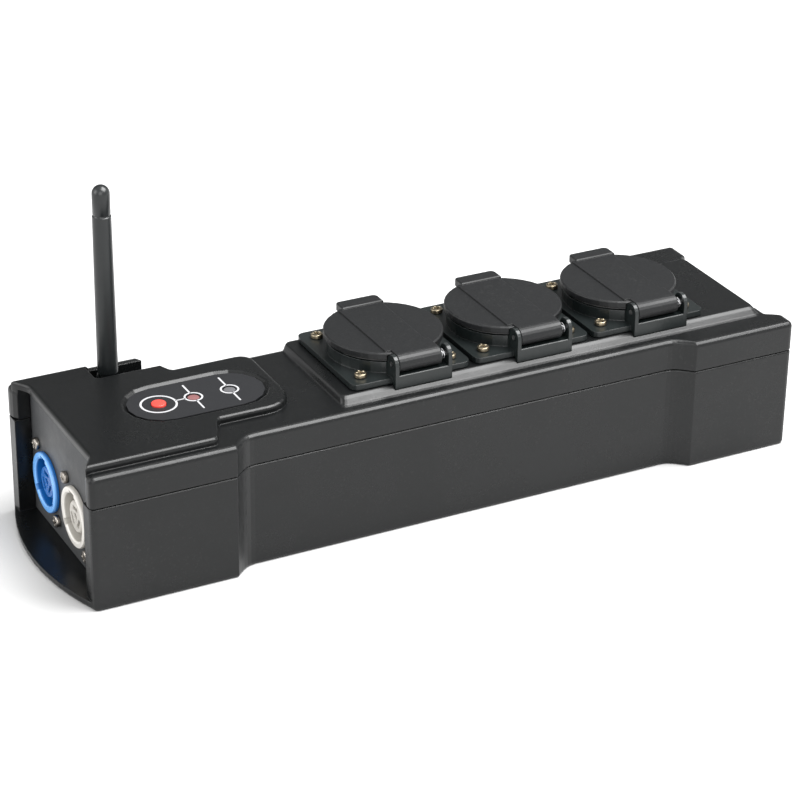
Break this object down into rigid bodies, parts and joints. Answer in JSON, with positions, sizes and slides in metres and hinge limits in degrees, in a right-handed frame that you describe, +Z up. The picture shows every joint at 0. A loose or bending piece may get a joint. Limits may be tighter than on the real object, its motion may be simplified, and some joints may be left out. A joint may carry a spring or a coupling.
{
  "type": "wireless dmx receiver",
  "caption": "Wireless DMX receiver in a long two-part plastic case, with a row of lidded mains outlets, a tilting aerial, a function button and chained power connectors in an end bay.",
  "frame": {"origin": "centre of the case's footprint, tongue included, on the surface that it stands on", "axes": "+X from the end with the power connectors to the end with the DMX output, +Y from the hinge side of the lids to the side of the aerial, +Z up"},
  "size_m": [0.3078, 0.0852, 0.1329],
  "materials": {
    "black_plastic": "satin",
    "dark_plastic": "satin",
    "panel_grey": "textured",
    "blue_plastic": "gloss",
    "pale_plastic": "satin",
    "red_plastic": "gloss",
    "overlay_film": "matte",
    "lamp_lens": "gloss",
    "board_green": "matte",
    "shield_steel": "satin",
    "nickel": "satin",
    "brass": "satin",
    "copper": "satin",
    "spring_steel": "satin",
    "seal_rubber": "matte",
    "aerial_rubber": "satin",
    "transformer_tape": "matte",
    "lead_black": "matte"
  },
  "bodies": {
    "case": {"lower_housing": "black_plastic", "top_cover": "black_plastic", "connector_panel": "panel_grey", "dmx_panel": "panel_grey", "power_inlet": "blue_plastic", "power_outlet": "pale_plastic", "dmx_output": "dark_plastic", "control_overlay": "overlay_film", "lamp_lens_1": "lamp_lens", "lamp_lens_2": "lamp_lens", "receiver_board": "board_green", "radio_module": "shield_steel", "supply_board": "board_green", "supply_transformer": "transformer_tape", "line_bar": "copper", "neutral_bar": "copper", "earth_bar": "nickel", "mains_cable": "lead_black", "aerial_lead": "lead_black", "aerial_jack": "brass", "aerial_base": "aerial_rubber", "aerial_pin": "spring_steel", "outlet_1": "black_plastic", "hinge_pin_1": "spring_steel", "lid_spring_1": "spring_steel", "outlet_2": "black_plastic", "hinge_pin_2": "spring_steel", "lid_spring_2": "spring_steel", "outlet_3": "black_plastic", "hinge_pin_3": "spring_steel", "lid_spring_3": "spring_steel", "outlet_screw_1": "nickel", "outlet_screw_2": "nickel", "outlet_screw_3": "nickel", "outlet_screw_4": "nickel", "outlet_screw_5": "nickel", "outlet_screw_6": "nickel", "outlet_screw_7": "nickel", "outlet_screw_8": "nickel", "outlet_screw_9": "nickel", "outlet_screw_10": "nickel", "outlet_screw_11": "nickel", "outlet_screw_12": "nickel", "connector_screw_1": "nickel", "case_screw_1": "nickel", "connector_screw_2": "nickel", "case_screw_2": "nickel", "connector_screw_3": "nickel", "case_screw_3": "nickel", "connector_screw_4": "nickel", "case_screw_4": "nickel"},
    "lid_1_body": {"lid_1": "black_plastic", "lid_seal_1": "seal_rubber"},
    "lid_2_body": {"lid_2": "black_plastic", "lid_seal_2": "seal_rubber"},
    "lid_3_body": {"lid_3": "black_plastic", "lid_seal_3": "seal_rubber"},
    "button_body": {"function_button": "red_plastic"},
    "latch_body": {"dmx_latch": "spring_steel"},
    "aerial_body": {"aerial_whip": "aerial_rubber"}
  },
  "joints": [
    {"name": "lid_1_hinge", "type": "hinge", "parent": "case", "child": "lid_1_body", "pos_m": [-0.00925, -0.0264, 0.0658], "axis": [1, 0, 0], "range_deg": [0, 105], "stiffness_Nm_per_rad": 0.004, "springref_deg": -85.94},
    {"name": "lid_2_hinge", "type": "hinge", "parent": "case", "child": "lid_2_body", "pos_m": [0.04325, -0.0264, 0.0658], "axis": [1, 0, 0], "range_deg": [0, 105], "stiffness_Nm_per_rad": 0.004, "springref_deg": -85.94},
    {"name": "lid_3_hinge", "type": "hinge", "parent": "case", "child": "lid_3_body", "pos_m": [0.09575, -0.0264, 0.0658], "axis": [1, 0, 0], "range_deg": [0, 105], "stiffness_Nm_per_rad": 0.004, "springref_deg": -85.94},
    {"name": "button_press", "type": "slide", "parent": "case", "child": "button_body", "axis": [0, 0, -1], "range_m": [0, 0.0006], "stiffness_N_per_m": 800, "springref_m": -0.001},
    {"name": "latch_press", "type": "slide", "parent": "case", "child": "latch_body", "axis": [-1, 0, 0], "range_m": [0, 0.0012], "stiffness_N_per_m": 800, "springref_m": -0.001},
    {"name": "aerial_tilt", "type": "hinge", "parent": "case", "child": "aerial_body", "pos_m": [-0.1091, 0.0318, 0.0523], "axis": [0, 1, 0], "range_deg": [0, 90]}
  ]
}
